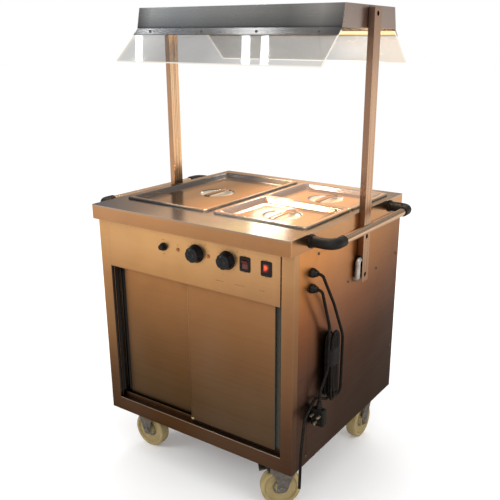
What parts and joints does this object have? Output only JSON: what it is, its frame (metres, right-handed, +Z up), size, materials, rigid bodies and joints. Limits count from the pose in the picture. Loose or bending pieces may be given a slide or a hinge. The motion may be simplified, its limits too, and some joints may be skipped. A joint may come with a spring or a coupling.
{
  "type": "steam table unit",
  "caption": "Mobile steam table: lidded pan wells over a sliding-door hot cupboard, with push bars, braked castors and a lamp-heated glass gantry.",
  "frame": {"origin": "on the floor under the middle of the worktop, which is also the middle of the overall box's underside", "axes": "+X to the right seen from the controls, +Y away from the operator towards the back, +Z up"},
  "size_m": [0.903, 0.705, 1.466],
  "materials": {
    "brushed_stainless": "brushed",
    "bright_stainless": "fine satin",
    "zinc_steel": "zinc plated",
    "element_sheath": "dark oxide",
    "mineral_wool": "matt fibre",
    "black_plastic": "moulded satin",
    "red_lens": "gloss",
    "amber_lens": "gloss",
    "cable_rubber": "satin",
    "clear_glass": "clear, polished edges",
    "quartz_glass": "clear",
    "white_ceramic": "glazed",
    "cream_nylon": "moulded satin"
  },
  "bodies": {
    "cabinet": {"worktop": "brushed_stainless", "well_tank": "brushed_stainless", "well_divider": "brushed_stainless", "heating_elements": "element_sheath", "insulation": "mineral_wool", "side_panels": "brushed_stainless", "back_panel": "brushed_stainless", "base_panel": "brushed_stainless", "stiles": "brushed_stainless", "bottom_rail": "brushed_stainless", "head_track": "brushed_stainless", "control_panel": "brushed_stainless", "cupboard_liner": "brushed_stainless", "shelf_runners": "brushed_stainless", "cupboard_shelf": "brushed_stainless", "thermostats": "black_plastic", "neon_lamps": "amber_lens", "switch_housings": "black_plastic", "terminal_block": "black_plastic", "wiring": "cable_rubber", "handle_elbows": "black_plastic", "handle_bars": "brushed_stainless", "gantry_posts": "brushed_stainless", "post_screws": "zinc_steel", "gantry_hood": "brushed_stainless", "hood_ends": "brushed_stainless", "lamp_reflector": "bright_stainless", "quartz_lamps": "quartz_glass", "lamp_holders": "white_ceramic", "glass_panels": "clear_glass", "pan_head_screws": "zinc_steel", "lamp_conduit": "zinc_steel", "cable_glands": "black_plastic", "mains_cords": "cable_rubber", "mains_plug": "black_plastic", "castor_plates": "zinc_steel", "castor_bolts": "zinc_steel"},
    "door_left": {"door_left": "brushed_stainless"},
    "door_right": {"door_right": "brushed_stainless"},
    "knob_left": {"knob_left": "black_plastic"},
    "knob_right": {"knob_right": "black_plastic"},
    "rocker_left": {"rocker_left": "black_plastic"},
    "rocker_right": {"rocker_right": "red_lens"},
    "reset_button": {"reset_button": "black_plastic"},
    "pan_full": {"pan_full": "bright_stainless"},
    "lid_full": {"lid_full": "bright_stainless"},
    "pan_front": {"pan_front": "bright_stainless"},
    "lid_front": {"lid_front": "bright_stainless"},
    "pan_rear": {"pan_rear": "bright_stainless"},
    "lid_rear": {"lid_rear": "bright_stainless"},
    "castor_fork_fl": {"castor_fork_fl": "zinc_steel"},
    "castor_wheel_fl": {"castor_wheel_fl": "cream_nylon"},
    "brake_pedal_fl": {"brake_pedal_fl": "black_plastic"},
    "castor_fork_fr": {"castor_fork_fr": "zinc_steel"},
    "castor_wheel_fr": {"castor_wheel_fr": "cream_nylon"},
    "brake_pedal_fr": {"brake_pedal_fr": "black_plastic"},
    "castor_fork_bl": {"castor_fork_bl": "zinc_steel"},
    "castor_wheel_bl": {"castor_wheel_bl": "cream_nylon"},
    "castor_fork_br": {"castor_fork_br": "zinc_steel"},
    "castor_wheel_br": {"castor_wheel_br": "cream_nylon"}
  },
  "joints": [
    {"name": "left_door_slide", "type": "slide", "parent": "cabinet", "child": "door_left", "axis": [1, 0, 0], "range_m": [0, 0.3]},
    {"name": "right_door_slide", "type": "slide", "parent": "cabinet", "child": "door_right", "axis": [1, 0, 0], "range_m": [-0.3, 0]},
    {"name": "left_knob_turn", "type": "hinge", "parent": "cabinet", "child": "knob_left", "pos_m": [0.03, -0.33, 0.788], "axis": [0, 1, 0], "range_deg": [0, 270]},
    {"name": "right_knob_turn", "type": "hinge", "parent": "cabinet", "child": "knob_right", "pos_m": [0.142, -0.33, 0.788], "axis": [0, 1, 0], "range_deg": [0, 270]},
    {"name": "left_rocker_tilt", "type": "hinge", "parent": "cabinet", "child": "rocker_left", "pos_m": [0.205, -0.327, 0.788], "axis": [1, 0, 0], "range_deg": [-18, 0]},
    {"name": "right_rocker_tilt", "type": "hinge", "parent": "cabinet", "child": "rocker_right", "pos_m": [0.276, -0.327, 0.788], "axis": [1, 0, 0], "range_deg": [0, 18]},
    {"name": "reset_push", "type": "slide", "parent": "cabinet", "child": "reset_button", "axis": [0, 1, 0], "range_m": [0, 0.004], "stiffness_N_per_m": 200},
    {"name": "pan_full_lift", "type": "slide", "parent": "cabinet", "child": "pan_full", "axis": [0, 0, 1], "range_m": [0, 0.18]},
    {"name": "lid_full_lift", "type": "slide", "parent": "pan_full", "child": "lid_full", "axis": [0, 0, 1], "range_m": [0, 0.12]},
    {"name": "pan_front_lift", "type": "slide", "parent": "cabinet", "child": "pan_front", "axis": [0, 0, 1], "range_m": [0, 0.18]},
    {"name": "lid_front_lift", "type": "slide", "parent": "pan_front", "child": "lid_front", "axis": [0, 0, 1], "range_m": [0, 0.12]},
    {"name": "pan_rear_lift", "type": "slide", "parent": "cabinet", "child": "pan_rear", "axis": [0, 0, 1], "range_m": [0, 0.18]},
    {"name": "lid_rear_lift", "type": "slide", "parent": "pan_rear", "child": "lid_rear", "axis": [0, 0, 1], "range_m": [0, 0.12]},
    {"name": "castor_swivel_fl", "type": "hinge", "parent": "cabinet", "child": "castor_fork_fl", "pos_m": [-0.306, -0.238, 0.155], "axis": [0, 0, 1], "continuous": true},
    {"name": "wheel_spin_fl", "type": "hinge", "parent": "castor_fork_fl", "child": "castor_wheel_fl", "pos_m": [-0.274, -0.238, 0.0625], "axis": [0, 1, 0], "continuous": true},
    {"name": "brake_press_fl", "type": "hinge", "parent": "castor_fork_fl", "child": "brake_pedal_fl", "pos_m": [-0.25, -0.238, 0.138], "axis": [0, 1, 0], "range_deg": [0, 12]},
    {"name": "castor_swivel_fr", "type": "hinge", "parent": "cabinet", "child": "castor_fork_fr", "pos_m": [0.306, -0.238, 0.155], "axis": [0, 0, 1], "continuous": true},
    {"name": "wheel_spin_fr", "type": "hinge", "parent": "castor_fork_fr", "child": "castor_wheel_fr", "pos_m": [0.28185, -0.25899, 0.0625], "axis": [0.6561, -0.7547, 0], "continuous": true},
    {"name": "brake_press_fr", "type": "hinge", "parent": "castor_fork_fr", "child": "brake_pedal_fr", "pos_m": [0.26374, -0.27474, 0.138], "axis": [0.6561, -0.7547, 0], "range_deg": [0, 12]},
    {"name": "castor_swivel_bl", "type": "hinge", "parent": "cabinet", "child": "castor_fork_bl", "pos_m": [-0.306, 0.258, 0.155], "axis": [0, 0, 1], "continuous": true},
    {"name": "wheel_spin_bl", "type": "hinge", "parent": "castor_fork_bl", "child": "castor_wheel_bl", "pos_m": [-0.31694, 0.22793, 0.0625], "axis": [0.9397, -0.342, 0], "continuous": true},
    {"name": "castor_swivel_br", "type": "hinge", "parent": "cabinet", "child": "castor_fork_br", "pos_m": [0.306, 0.258, 0.155], "axis": [0, 0, 1], "continuous": true},
    {"name": "wheel_spin_br", "type": "hinge", "parent": "castor_fork_br", "child": "castor_wheel_br", "pos_m": [0.306, 0.226, 0.0625], "axis": [1, 0, 0], "continuous": true}
  ]
}
